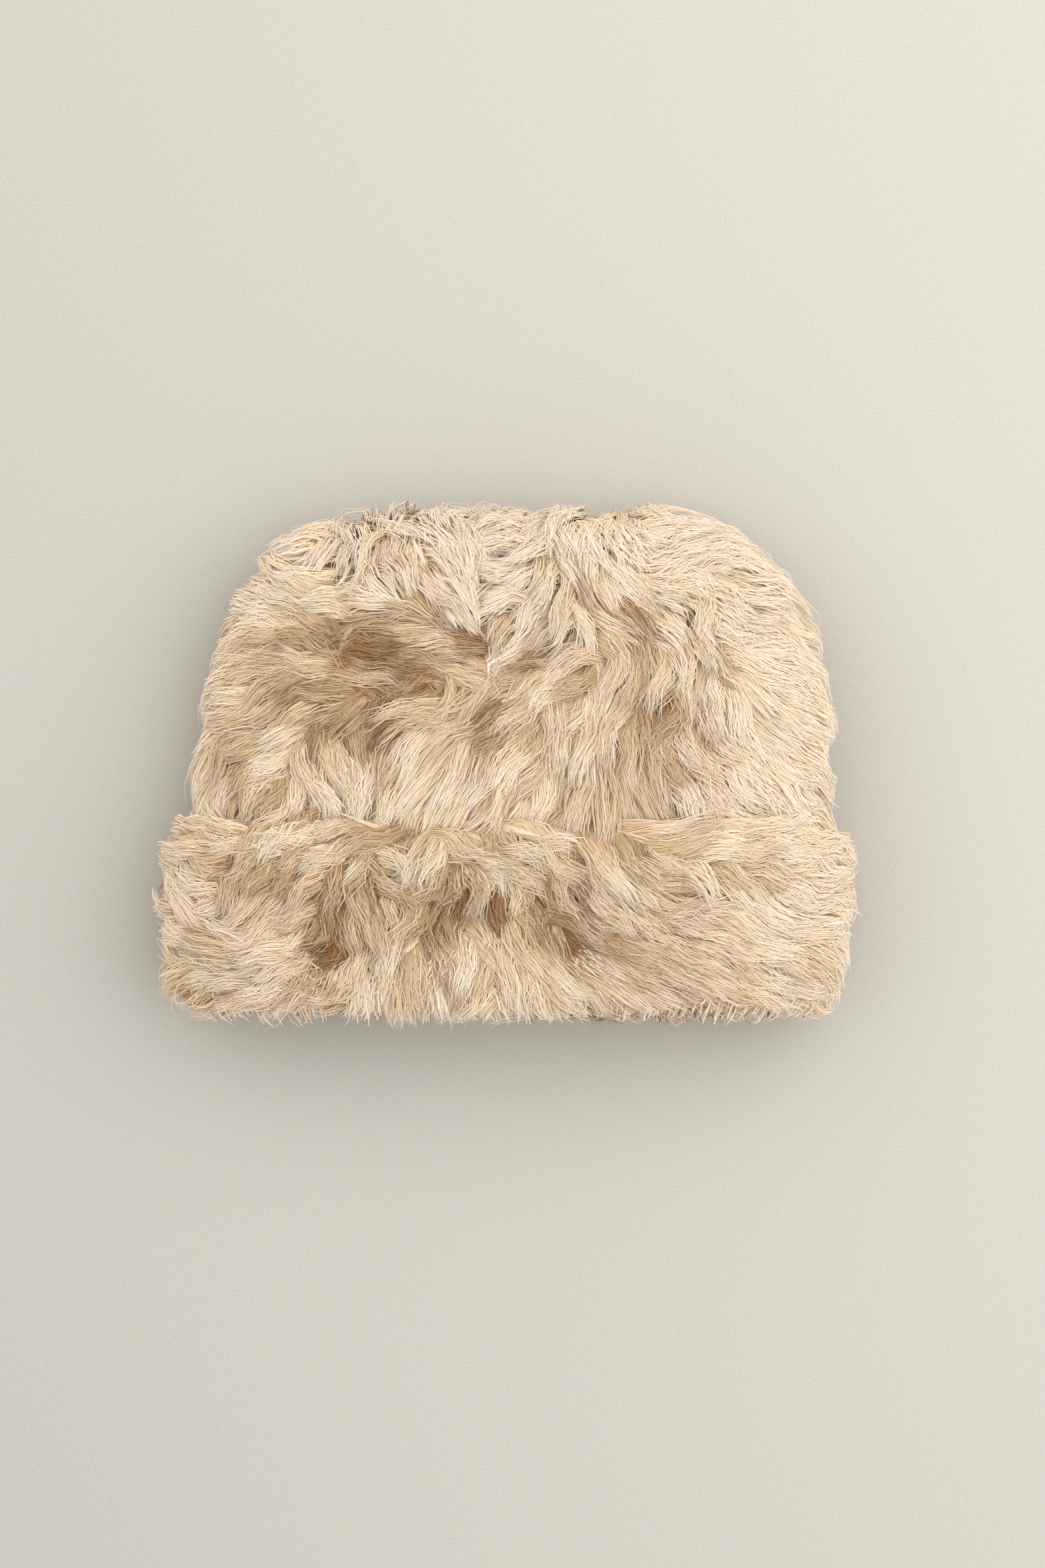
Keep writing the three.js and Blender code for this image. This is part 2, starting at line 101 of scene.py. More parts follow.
# Hollows and humps of the wool on the side that faces up: a place in the photo, the radius in mm, and the
# share of the pile that is taken or added
# The strands in the hollows are also painted darker, as shade in them
RELIEF = [
    # px, py, radius, change
    (419, 970, 6, -0.5), (640, 1025, 6, -0.5), (500, 1090, 7, -0.35), (575, 1105, 6, -0.4),
    (730, 1075, 6, -0.5), (960, 1060, 7, -0.4), (1000, 1075, 6, -0.4), (500, 1420, 8, -0.5),
    (655, 1385, 8, -0.5), (705, 1345, 7, -0.7), (850, 1415, 9, -0.55), (820, 1340, 7, -0.45),
    (275, 1335, 8, -0.4), (560, 1330, 6, -0.35), (740, 1120, 6, -0.3), (545, 985, 6, -0.3),
    (470, 950, 7, -0.35), (700, 960, 8, -0.35), (960, 930, 7, -0.3), (340, 1140, 7, -0.3),
    (420, 1080, 6, -0.3), (300, 1230, 7, -0.3), (1130, 1080, 6, -0.25), (470, 1000, 26, -0.32),
    (610, 1020, 26, -0.34), (780, 1040, 20, -0.2), (600, 1400, 24, -0.25), (800, 1390, 20, -0.25),
    (370, 1150, 18, -0.15), (560, 890, 14, 0.35), (690, 895, 13, 0.4), (800, 915, 13, 0.35),
    (430, 880, 13, 0.25), (640, 985, 8, 0.25), (560, 1040, 9, 0.2), (1050, 900, 15, 0.2),
    (450, 1250, 12, 0.2), (620, 1265, 11, 0.25), (760, 1260, 10, 0.2), (600, 1380, 8, 0.2),
    (740, 1400, 9, 0.2), (930, 1330, 12, 0.2), (1000, 1140, 12, 0.15),
]

# How the wool bunches: a place in the photo, how far a lock closes in on itself, how far it swings, how
# far its tip turns, each as a share of the full amount, and how much lighter it is painted, which is
# mostly painted light and shade on the wool, with some of its own tone
MANNERS_AND_SHADING = [
    # px, py, gather, wave, curl, tone with painted light and shade
    (420, 840, 0.7, 0.9, 1.3, 1.1), (620, 820, 0.5, 0.8, 0.8, 1.5), (800, 860, 0.9, 1.0, 1.0, 0.8),
    (950, 820, 0.5, 0.6, 0.6, 1.0), (1130, 860, 0.5, 0.5, 0.5, 0.3), (1190, 1020, 0.4, 0.5, 0.3, 0.6),
    (1180, 1150, 0.5, 0.6, 0.4, 0.5), (960, 1000, 0.9, 1.5, 0.8, -0.9), (960, 1120, 0.9, 1.3, 0.5, -1.0),
    (870, 960, 1.0, 1.0, 0.8, -1.1), (870, 1080, 0.9, 1.2, 0.7, -0.9), (950, 1190, 0.7, 0.8, 0.5, -0.7),
    (800, 1130, 0.7, 0.9, 0.5, -0.3), (640, 1130, 0.6, 0.8, 0.4, -0.2), (560, 990, 1.2, 0.5, 0.7, -1.2),
    (740, 1010, 1.1, 0.6, 0.7, -0.8), (720, 950, 1.0, 0.8, 0.8, 0.5), (420, 1020, 1.1, 0.7, 1.0, -1.1),
    (430, 1130, 0.9, 0.8, 0.8, -0.3), (640, 1060, 0.9, 0.7, 0.6, -1.3), (520, 1100, 0.9, 0.7, 0.6, -0.2),
    (540, 930, 1.0, 0.7, 0.9, -0.5), (300, 1060, 0.7, 0.7, 0.6, 0.7), (330, 930, 0.7, 0.7, 0.8, 0.8),
    (280, 1300, 0.8, 0.9, 0.8, 0.3), (420, 1290, 0.9, 1.1, 0.9, -0.8), (480, 1330, 1.1, 1.2, 1.2, -1.4),
    (560, 1340, 1.2, 1.4, 1.5, -1.2), (700, 1340, 1.2, 1.3, 1.6, -1.2), (840, 1350, 1.1, 1.2, 1.2, -0.7),
    (960, 1330, 0.8, 1.1, 0.8, -0.9), (1120, 1360, 0.5, 0.8, 0.4, -0.5), (1240, 1360, 0.4, 0.6, 0.3, 0.2),
    (1000, 1460, 0.4, 0.6, 0.3, -1.1), (620, 1470, 0.7, 0.8, 0.8, -0.2), (390, 1430, 0.7, 0.8, 0.6, -0.8),
]

# The layers of strands: how many on the whole hat, or round the fold for the fringe, the points along each,
# and the width of the deep ones
DEEP_COUNT, DEEP_POINTS = 8000, 6
BROAD_COUNT, BROAD_POINTS = 11000, 8
FINE_COUNT, FINE_POINTS = 59500, 7
FRINGE_COUNT, FRINGE_POINTS = 7500, 5
DEEP_WIDTH = 2.4 * MM

# Steps along a lock or wisp, and the share of the pile that the under-wool fills
PATH_STEPS = 14
UNDER_SHARE = 0.48

# A ray to a skin starts this far out, in metres, and one to the pile starts this far over the skin
RAY_START = 0.4
PILE_LIMIT = 60 * MM

# The least height over the ground of the paths as they grow, of wisps, of strands and of the under-wool
PATH_LOW = 0.7 * MM
WISP_LOW = 0.6 * MM
STRAND_LOW = 0.5 * MM
UNDER_LOW = 0.3 * MM

# Half the ground's side, and how fast the ground's painted shade lightens along X and Y
GROUND_HALF = 6.0
GROUND_PAINTED_FALLOFF = (1.42, 0.535, 0.0)

# The place, size and power of each lamp, and the light of the room
KEY_LAMP = ((1.1, 0.4, 1.9), 3.2, 37.5)
FILL_LAMP = ((-1.1, 0.7, 1.7), 2.4, 12)
ROOM_COLOUR = (1.0, 0.985, 0.96, 1.0)
ROOM_LIGHT = 0.77

# The level of the hat that the photo's scale holds for, and the camera over it
HAT_LEVEL = 0.04
CAMERA_HEIGHT = 1.9
SENSOR_MM = 36


def in_hat(px, py):
    """A place in the photo as metres in the hat's own frame."""
    x = (np.asarray(px, float) - HAT_MIDDLE_PX[0]) * PHOTO_MM * MM
    y = (HAT_MIDDLE_PX[1] - np.asarray(py, float)) * PHOTO_MM * MM
    return x, y


def unit(ways):
    return ways / np.maximum(np.linalg.norm(ways, axis=-1, keepdims=True), 1e-9)


def dot(a, b):
    return np.sum(a * b, axis=-1, keepdims=True)


def smooth(low, high, value):
    """A value's place between low and high, eased at both ends."""
    t = np.clip((value - low) / (high - low), 0.0, 1.0)
    return t * t * (3.0 - 2.0 * t)


def blur(grid, passes):
    """Averages a grid with its neighbours. Columns go round the hat, rows run along it."""
    for _ in range(passes):
        sides = 0.5 * (np.roll(grid, 1, axis=1) + np.roll(grid, -1, axis=1))
        up = np.concatenate([grid[1:], grid[-1:]])
        down = np.concatenate([grid[:1], grid[:-1]])
        grid = 0.5 * grid + 0.25 * sides + 0.125 * (up + down)
    return grid


def tree_of(node):
    """A solid's faces, ready for rays."""
    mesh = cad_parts[node].data
    mesh.calc_loop_triangles()
    corners = [tuple(v.co) for v in mesh.vertices]
    return BVHTree.FromPolygons(corners, [tuple(t.vertices) for t in mesh.loop_triangles])


class Hide:
    """A smooth grid over the outer face of a skin, with its normals and the height of the pile on it.

    A place on it is a row and a column, with fractions. Rows run from the mouth to the crown's top, and
    columns go round.
    """

    def __init__(self, points, wool, fold=0):
        self.fold = fold
        self.points = blur(points, 3)
        self.rows, self.columns = points.shape[:2]
        along = np.gradient(self.points, axis=0)
        around = 0.5 * (np.roll(self.points, -1, axis=1) - np.roll(self.points, 1, axis=1))
        self.along, self.around = along, around
        normals = unit(np.cross(around, along))
        middle = self.points.mean(axis=1, keepdims=True)
        if np.mean(dot(normals, self.points - middle)) < 0:
            normals = -normals
        self.normals = unit(blur(normals, 2))
        self.pile = blur(self.reach_of(wool), 10)
        self.area = np.linalg.norm(np.cross(around, along), axis=-1)

    def reach_of(self, wool):
        """The height of the solid wool over each place, along the normal."""
        reach = np.zeros((self.rows, self.columns))
        for row in range(self.rows):
            for column in range(self.columns):
                foot = Vector(self.points[row, column])
                out = Vector(self.normals[row, column])
                hit = wool.ray_cast(foot + out * PILE_LIMIT, -out, PILE_LIMIT)
                reach[row, column] = PILE_LIMIT - hit[3] if hit[0] is not None else np.nan
        column_mean = np.nanmean(reach, axis=0)
        gaps = np.isnan(reach)
        reach[gaps] = np.broadcast_to(column_mean, reach.shape)[gaps]
        return np.nan_to_num(reach, nan=np.nanmean(reach))[..., None]

    def read(self, grid, places):
        """A grid's values at places between its rows and columns."""
        row = np.clip(places[:, 0], 0, self.rows - 1.001)
        column = np.mod(places[:, 1], self.columns)
        here = np.floor(row).astype(int)
        left = np.floor(column).astype(int) % self.columns
        right = (left + 1) % self.columns
        up, across = (row - here)[:, None], (column - np.floor(column))[:, None]
        low = grid[here, left] * (1 - across) + grid[here, right] * across
        high = grid[here + 1, left] * (1 - across) + grid[here + 1, right] * across
        return low * (1 - up) + high * up

    def scatter(self, count, weight, rng):
        """Places spread at random by area, weighted by a grid."""
        share = (self.area * weight).ravel()
        share[-self.columns:] = 0
        picks = np.searchsorted(np.cumsum(share) / share.sum(), rng.random(count))
        row, column = np.divmod(np.clip(picks, 0, share.size - 1), self.columns)
        return np.stack([row + rng.random(count), column + rng.random(count)], axis=1)

    def moved(self, places, move):
        """Places after a move in metres along the surface."""
        along, around = self.read(self.along, places), self.read(self.around, places)
        length, skew, width = dot(along, along), dot(along, around), dot(around, around)
        ahead, aside = dot(along, move), dot(around, move)
        scale = np.maximum(length * width - skew * skew, 1e-14)
        step = [(ahead * width - skew * aside) / scale, (length * aside - skew * ahead) / scale]
        step = np.concatenate(step, axis=1)
        out = places + np.clip(step, -3, 3)
        last = self.rows - 1.001
        if not self.fold:
            over = out[:, 0] > last
            out[over] = np.stack([2 * last - out[over, 0], -out[over, 1]], axis=1)
        out[:, 0] = np.clip(out[:, 0], 0, last)
        return out


def crown_hide():
    """The crown's skin from just under the cuff's edge over to the closed top."""
    rows, columns = 84, 176
    skin = tree_of("crown_skin")
    low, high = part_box("crown_skin")
    half = (high - low) / 2
    middle = (high + low) / 2
    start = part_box("crown_wool")[0].y - 5 * MM
    dome = 38 * MM
    bend = high.y - dome
    straight = 0.6
    points = np.zeros((rows, columns, 3))
    for row in range(rows):
        t = row / (rows - 1)
        tilt = max(0.0, (t - straight) / (1 - straight)) * math.radians(86)
        y = start + (bend - start) * min(t / straight, 1.0)
        origin = Vector((middle.x, y, middle.z))
        for column in range(columns):
            turn = 2 * math.pi * column / columns
            way = Vector((
                half.x * math.cos(turn) * math.cos(tilt),
                dome * math.sin(tilt),
                half.z * math.sin(turn) * math.cos(tilt),
            )).normalized()
            hit = skin.ray_cast(origin + way * RAY_START, -way, RAY_START)
            points[row, column] = hit[0]
    hide = Hide(points, tree_of("crown_wool"))
    fuller = smooth(0.5 * rows, 0.75 * rows, np.arange(rows))[:, None, None]
    hide.pile = hide.pile * (1 + 0.28 * fuller)
    return hide


def cuff_hide():
    """The cuff's skin from its fold at the mouth, which the first rows go round, up to its edge."""
    rows, columns, fold_rows = 52, 184, 9
    skin = tree_of("cuff_skin")
    low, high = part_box("cuff_skin")
    half = (high - low) / 2
    middle = (high + low) / 2
    points = np.zeros((rows, columns, 3))
    fold = 4.5 * MM

    def hit_at(y, turn):
        way = Vector((half.x * math.cos(turn), 0, half.z * math.sin(turn))).normalized()
        origin = Vector((middle.x, y, middle.z))
        return skin.ray_cast(origin + way * RAY_START, -way, RAY_START)[0]

    def last_hit(bare, full, turn):
        """Where the skin ends between a bare y and a y that has skin."""
        for _ in range(12):
            y = (bare + full) / 2
            if hit_at(y, turn) is None:
                bare = y
            else:
                full = y
        return full

    for column in range(columns):
        turn = 2 * math.pi * column / columns
        lip = last_hit(low.y - MM, low.y + 26 * MM, turn) + 0.3 * MM
        edge = last_hit(high.y + MM, high.y - 20 * MM, turn) - 0.3 * MM
        for row in range(fold_rows, rows):
            t = (row - fold_rows) / (rows - 1 - fold_rows)
            points[row, column] = hit_at(lip + (edge - lip) * t, turn)
        edge = points[fold_rows, column]
        inward = np.array([middle.x, edge[1], middle.z]) - edge
        inward = inward / np.linalg.norm(inward)
        for row in range(fold_rows):
            tilt = (1 - row / fold_rows) * math.radians(150)
            turned_in = inward * fold * (1 - math.cos(tilt))
            points[row, column] = edge + turned_in + np.array([0, -fold, 0]) * math.sin(tilt)
    hide = Hide(points, tree_of("cuff_wool"), fold_rows)
    hide.pile[:fold_rows] = hide.pile[fold_rows] * np.linspace(0.55, 1.0, fold_rows)[:, None, None]
    return hide


def charted(rows, foot, reach):
    """How much each row of a table counts at each place."""
    x, y = in_hat([row[0] for row in rows], [row[1] for row in rows])
    away = ((foot[:, 0:1] - x) ** 2 + (foot[:, 1:2] - y) ** 2) / reach ** 2
    weight = np.exp(-away / 2) + 2e-3 / (1 + away) ** 2
    return weight / weight.sum(axis=1, keepdims=True)


def lay_at(foot, normal, rows, nudge, rest_way):
    """The tangent along which the wool lies at each place."""
    weight = charted(rows, foot, 7.5 * MM)
    turn = np.radians([row[2] for row in rows])
    lay = unit(np.stack([weight @ np.cos(turn), weight @ np.sin(turn), np.zeros(len(foot))], axis=1))
    upright = np.array([0, 0, 1.0])
    lay = lay - (normal + upright) * dot(lay, normal) / np.maximum(1 + normal[:, 2:3], 0.2)
    resting = smooth(0.05, 0.6, -normal[:, 2:3])
    level = np.zeros(len(foot))
    rest = unit(np.stack([np.sign(foot[:, 0]) * rest_way[0], level + rest_way[1], level], axis=1))
    lay = lay * (1 - resting) + rest * resting
    lay = unit(lay - normal * dot(lay, normal))
    turned = np.cross(normal, lay)
    return unit(lay * np.cos(nudge) + turned * np.sin(nudge))


def nearest(points, centres, ways, batch=3000):
    """The number of each point's nearest centre, and how far off it is, where half counts along the way."""
    found = np.zeros(len(points), int)
    far = np.zeros(len(points))
    for start in range(0, len(points), batch):
        part = points[start:start + batch]
        gap = part[:, None] - centres[None]
        away = (gap ** 2).sum(-1) - 0.75 * (gap * ways[None]).sum(-1) ** 2
        pick = away.argmin(1)
        found[start:start + batch] = pick
        far[start:start + batch] = away[np.arange(len(part)), pick]
    return found, np.sqrt(far)[:, None]


def spread(points, count, rng):
    """Numbers of points that lie about evenly apart."""
    chosen = [int(rng.integers(len(points)))]
    far = ((points - points[chosen[0]]) ** 2).sum(1)
    for _ in range(count - 1):
        pick = int(far.argmax())
        chosen.append(pick)
        far = np.minimum(far, ((points - points[pick]) ** 2).sum(1))
    return np.array(chosen)


def grown(hide, middles, rows, nudge, length, lift, rest_way, droop):
    """Paths whose middles lie over the given places, with the hide's normals along them.

    Each starts half its length back, rises from the hide, lies over along the lay at its middle, and
    follows the lay from there on. droop is the share of its height that it loses towards the tip.
    """
    back_steps = 6
    foot, normal = hide.read(hide.points, middles), hide.read(hide.normals, middles)
    carried = lay_at(foot, normal, rows, nudge, rest_way)
    here = middles
    for _ in range(back_steps):
        normal = hide.read(hide.normals, here)
        carried = unit(carried - normal * dot(carried, normal))
        here = hide.moved(here, -carried * length * 0.5 / back_steps)
    foot, normal = hide.read(hide.points, here), hide.read(hide.normals, here)
    way = unit(normal + carried * 0.8)
    at = foot - normal * 0.5 * MM
    path, normals = [at], [normal]
    step = length / PATH_STEPS
    for k in range(PATH_STEPS):
        s = (k + 1) / PATH_STEPS
        foot, normal = hide.read(hide.points, here), hide.read(hide.normals, here)
        pile = hide.read(hide.pile, here)
        carried = unit(carried - normal * dot(carried, normal))
        follow = smooth(0.4, 0.9, s)
        if follow > 0:
            lay = lay_at(foot, normal, rows, nudge, rest_way)
            carried = unit(carried * (1 - 0.5 * follow) + lay * 0.5 * follow)
        wanted = pile * lift * (1 - (1 - min(s / 0.55, 1.0)) ** 2) * (1 - droop * smooth(0.55, 1.0, s))
        error = (wanted - dot(at - foot, normal)) / (6 * MM)
        target = unit(carried + normal * np.clip(error, -1.2, 1.6))
        way = unit(way * 0.5 + target * 0.5)
        slowed = smooth(-0.3 * hide.fold, hide.fold, here[:, 0:1]) if hide.fold else 1.0
        at = at + way * step * slowed
        at[:, 2] = np.maximum(at[:, 2], PATH_LOW)
        here = hide.moved(here, (at - foot) - normal * dot(at - foot, normal))
        path.append(at)
        normals.append(normal)
    return np.stack(path, 1), np.stack(normals, 1)


def drifting(points, rng, size):
    """A smooth chance value for each point, that changes over about the size, mostly from -1 to 1."""
    value = np.zeros(len(points))
    for _ in range(6):
        way = unit(rng.normal(0, 1, 3)) * rng.uniform(0.6, 1.4) / size
        value += np.sin(2 * math.pi * (points @ way) + rng.uniform(0, 2 * math.pi))
    return (value / 3.0)[:, None]


def along(path, s):
    """The point at share s of each path, for one s or one for each path."""
    last = path.shape[1] - 1
    place = np.clip(np.broadcast_to(s, (len(path),)) * last, 0, last - 1e-6)
    i = place.astype(int)
    t = (place - i)[:, None]
    rows = np.arange(len(path))
    return path[rows, i] * (1 - t) + path[rows, i + 1] * t


def by_cell(points, cell):
    """Numbers of the points in each cell."""
    cells = {}
    for number, key in enumerate(map(tuple, np.floor(points / cell).astype(int))):
        cells.setdefault(key, []).append(number)
    return cells


class Wool:
    """The wool on one hide: locks, the wisps that make them up and the strands of each wisp."""

    def __init__(self, hide, rows, sizes, seed, rest_way):
        self.hide = hide
        self.rows = rows
        self.sizes = sizes
        self.rest_way = rest_way
        self.rng = np.random.default_rng(seed)
        self.shape_pile()

    def shape_pile(self):
        """Presses the hollows into the pile and raises its humps."""
        hide = self.hide
        up = smooth(0.2, 0.7, hide.normals[..., 2:3])
        change = np.zeros_like(hide.pile)
        for px, py, radius, share in RELIEF:
            x, y = in_hat(px, py)
            away = (hide.points[..., 0:1] - x) ** 2 + (hide.points[..., 1:2] - y) ** 2
            change = change + 1.3 * share * np.exp(-away / (1.15 * radius * MM) ** 2)
        # How deep each hollow is, kept for the painted shade that darkens the strands in it
        self.hollow = up * np.clip(-change, 0, 1)
        hide.pile = hide.pile * (1 + up * np.clip(change, -0.75, 0.5))

    def weight(self):
        """More strands where the hat faces up, fewer where it is pressed down, but not at the mouth."""
        up = self.hide.normals[..., 2]
        weight = 0.42 + 0.75 * smooth(-0.2, 0.6, up) - 0.27 * smooth(0.2, 0.9, -up)
        if self.hide.fold:
            row = np.arange(self.hide.rows)[:, None] / self.hide.rows
            weight = np.maximum(weight, 0.75 * (1 - smooth(0.25, 0.4, row)))
        return weight

    def grow(self):
        """Grows the locks, the wisps drawn into them and a second set of wisps that lie evenly."""
        hide, rng, sizes = self.hide, self.rng, self.sizes
        many = hide.scatter(9 * sizes["locks"], self.weight(), rng)
        many_feet = hide.read(hide.points, many)
        places = many[spread(many_feet, sizes["locks"], rng)]
        feet = hide.read(hide.points, places)
        count = len(places)
        nudge = rng.normal(0, math.radians(sizes["stray"]), (count, 1))
        length = sizes["length"] * rng.uniform(0.8, 1.2, (count, 1))
        manner_and_shading = charted(MANNERS_AND_SHADING, feet, 16 * MM) @ np.array([row[2:] for row in MANNERS_AND_SHADING])
        lift = 1 + rng.uniform(-0.24, 0.24, (count, 1)) * np.clip(manner_and_shading[:, 0:1], 0.3, 1.1)
        phase = 2 * math.pi * drifting(feet, rng, 70 * MM) + rng.normal(0, 0.7, (count, 1))
        period = (21 + 4 * drifting(feet, rng, 90 * MM)) * MM
        reach = sizes["wave"] * np.clip(0.75 + 0.5 * drifting(feet, rng, 60 * MM), 0.2, 1.5)
        curl = (rng.normal(0, 0.6, (count, 1)) + drifting(feet, rng, 45 * MM)) * sizes["curl"]
        tone = rng.normal(0, 1, count)
        reach = reach * manner_and_shading[:, 1:2]
        curl = curl * manner_and_shading[:, 2:3]
        droop = 0.12 + 0.3 * manner_and_shading[:, 0:1]
        locks, _ = grown(hide, places, self.rows, nudge, length, lift, self.rest_way, droop)

        wisps = hide.scatter(sizes["wisps"], self.weight(), rng)
        wisp_feet = hide.read(hide.points, wisps)
        lock_lay = lay_at(feet, hide.read(hide.normals, places), self.rows, nudge, self.rest_way)
        owner, far = nearest(wisp_feet, feet, lock_lay)
        n = len(wisps)
        own_nudge = nudge[owner] + rng.normal(0, math.radians(3), (n, 1))
        own_length = length[owner] * rng.uniform(0.82, 1.1, (n, 1))
        bunch = manner_and_shading[owner, 0:1]
        own_lift = lift[owner] * rng.uniform(0.94, 1.04, (n, 1))
        own_lift = own_lift * (1.08 - 0.4 * np.clip(far / (7.5 * MM), 0, 1) ** 2 * bunch)
        ahead = dot(wisp_feet - feet[owner], lock_lay[owner])
        drawn = hide.moved(wisps, -lock_lay[owner] * ahead * np.clip(0.55 * bunch, 0, 0.7))
        paths, normals = grown(
            hide, drawn, self.rows, own_nudge, own_length, own_lift, self.rest_way, 0.12 + 0.3 * bunch
        )
        s = np.linspace(0, 1, PATH_STEPS + 1)[None, :, None]
        gather = sizes["gather"] * bunch[:, None] * rng.uniform(0.7, 1.2, (n, 1, 1))
        gather = np.clip(gather * smooth(0.3, 1.0, s), 0, 0.9)
        paths = paths + (locks[owner] - paths) * gather
        way = unit(np.gradient(paths, axis=1))
        side = unit(np.cross(normals, way))
        turn = 2 * math.pi * s * own_length[:, None] / period[owner][:, None]
        turn = turn + phase[owner][:, None] + rng.normal(0, 0.3, (n, 1, 1))
        swing = reach[owner][:, None] * smooth(0.0, 0.45, s)
        paths = paths + side * swing * np.sin(turn) + normals * 0.5 * swing * np.cos(turn)
        hook = curl[owner][:, None] * rng.uniform(0.6, 1.3, (n, 1, 1))
        paths = paths + side * hook * np.clip((s - 0.5) / 0.5, 0, 1) ** 2
        paths[..., 2] = np.maximum(paths[..., 2], WISP_LOW)
        even, even_normals = grown(
            hide, wisps, self.rows, own_nudge, own_length, 0.7 * lift[owner] ** 0.3, self.rest_way, 0.05
        )
        self.wisp_feet = wisp_feet
        self.bunched = (paths, normals)
        self.even = (even, even_normals)
        self.core = locks[owner]
        # A lock's random tone, stronger where the wool bunches, paints light and shade between bunched
        # locks besides their own tone; the table's last column adds painted light and shade at each place
        self.wisp_tone_and_shading = (0.35 + 0.45 * manner_and_shading[owner, 0]) * tone[owner]
        self.wisp_tone_and_shading += 0.35 * rng.normal(0, 1, n) + 1.5 * manner_and_shading[owner, 3]
        return self

    def strands(self, count, points, width, look):
        """Strands about the wisps, as paths with their widths, normals and tones, the tones with painted
        light and shade.

        look holds wisps, which of the two sets of wisps they follow; loose, how far they stray; rise, how
        far they stand above the wisp; shrink, how far they close in on it; ends, the shares of the wisp at
        which they end; fly, how many stray much further; span, their part of the map across; tone, how
        light, which paints shade on the deep layer and light on the fine top one; hollow, how much painted
        shade darkens them in a hollow; roll, how far they turn.
        """
        wisps, wisp_normals = look["wisps"]
        hide, rng = self.hide, self.rng
        places = hide.scatter(count, self.weight(), rng)
        feet = hide.read(hide.points, places)
        owner = self.nearest_wisp(feet)
        offset = feet - self.wisp_feet[owner]
        ends = rng.uniform(*look["ends"], count)
        fly = rng.random(count) < look["fly"]
        ends[fly] = 1.0
        drift = rng.normal(0, 1, (count, 3)) * look["loose"]
        drift[fly] *= 3.0
        rise = (np.abs(rng.normal(0, 1, count)) * look["rise"])[:, None]
        path = np.zeros((count, points, 3))
        normal = np.zeros((count, points, 3))
        heart = np.zeros((count, points, 3))
        phase = rng.uniform(0, 2 * math.pi, (count, 1))
        for k, s in enumerate(np.linspace(0.0, 1.0, points)):
            share = s * ends
            out = unit(along(wisp_normals[owner], share))
            keep = (1 + look["shrink"] * (0.5 - share))[:, None]
            at = along(wisps[owner], share) + offset * keep + drift * s ** 1.5
            at = at + out * (rise * s + 0.25 * MM * s * np.sin(phase + 9.0 * s))
            at[:, 2] = np.maximum(at[:, 2], STRAND_LOW)
            path[:, k] = at
            normal[:, k] = out
            heart[:, k] = along(self.core[owner], share)
        # A strand's tone: its wisp's tone with painted light and shade, a random tone of its own, its
        # layer's painted light and shade, and painted shade in the pile's hollows
        tone = 0.75 * self.wisp_tone_and_shading[owner] + 0.28 * rng.normal(0, 1, count) + look["tone"]
        tone = tone - look["hollow"] * hide.read(self.hollow, places)[:, 0]
        return {
            "path": path,
            "normal": normal,
            "heart": heart,
            "tone": tone,
            "width": width * rng.uniform(0.75, 1.25, count),
            "ends": ends,
            "span": look["span"],
            "roll": look["roll"],
        }

    def fringe(self, count, points, width, look):
        """Strands that stand out all round the fold and turn over it towards the mouth."""
        hide, rng = self.hide, self.rng
        row = np.arange(hide.rows)[:, None] * np.ones((1, hide.columns))
        near_fold = (row >= 2) * (1 - smooth(hide.fold, 3 * hide.fold, row))
        places = hide.scatter(count, near_fold, rng)
        feet = hide.read(hide.points, places)
        turn = rng.normal(0, 0.45, (count, 1)) + 1.3 * drifting(feet, rng, 40 * MM)
        length = rng.uniform(*look["length"], (count, 1))
        rise = rng.uniform(0.45, 1.05, (count, 1))
        path = np.zeros((count, points, 3))
        normals = np.zeros((count, points, 3))
        here = places
        for k, s in enumerate(np.linspace(0.0, 1.0, points)):
            foot, normal = hide.read(hide.points, here), unit(hide.read(hide.normals, here))
            path[:, k] = foot + normal * hide.read(hide.pile, here) * rise * (1 - (1 - s) ** 2)
            normals[:, k] = normal
            lay = -unit(hide.read(hide.along, here))
            lay = unit(lay + np.cross(normal, lay) * turn * (0.6 + 1.2 * s))
            here = hide.moved(here, lay * length / (points - 1))
        path[..., 2] = np.maximum(path[..., 2], STRAND_LOW)
        tone = 0.5 * drifting(feet, rng, 20 * MM)[:, 0] + 0.3 * rng.normal(0, 1, count) + look["tone"]
        return {
            "path": path,
            "normal": normals,
            "heart": path,
            "tone": tone,
            "width": width * rng.uniform(0.75, 1.25, count),
            "ends": rng.uniform(0.8, 1.0, count),
            "span": look["span"],
            "roll": look["roll"],
        }

    def nearest_wisp(self, feet):
        """The nearest wisp to each foot, found cell by cell."""
        cell = 6 * MM
        cells = by_cell(self.wisp_feet, cell)
        around = [(i, j, k) for i in (-1, 0, 1) for j in (-1, 0, 1) for k in (-1, 0, 1)]
        found = np.zeros(len(feet), int)
        for key, members in by_cell(feet, cell).items():
            near = []
            for i, j, k in around:
                near += cells.get((key[0] + i, key[1] + j, key[2] + k), [])
            if not near:
                near = list(range(len(self.wisp_feet)))
            near = np.array(near)
            away = ((feet[members][:, None] - self.wisp_feet[near][None]) ** 2).sum(-1)
            found[members] = near[away.argmin(1)]
        return found


def put(name, data):
    """A new object in the scene."""
    piece = bpy.data.objects.new(name, data)
    bpy.context.scene.collection.objects.link(piece)
    return piece


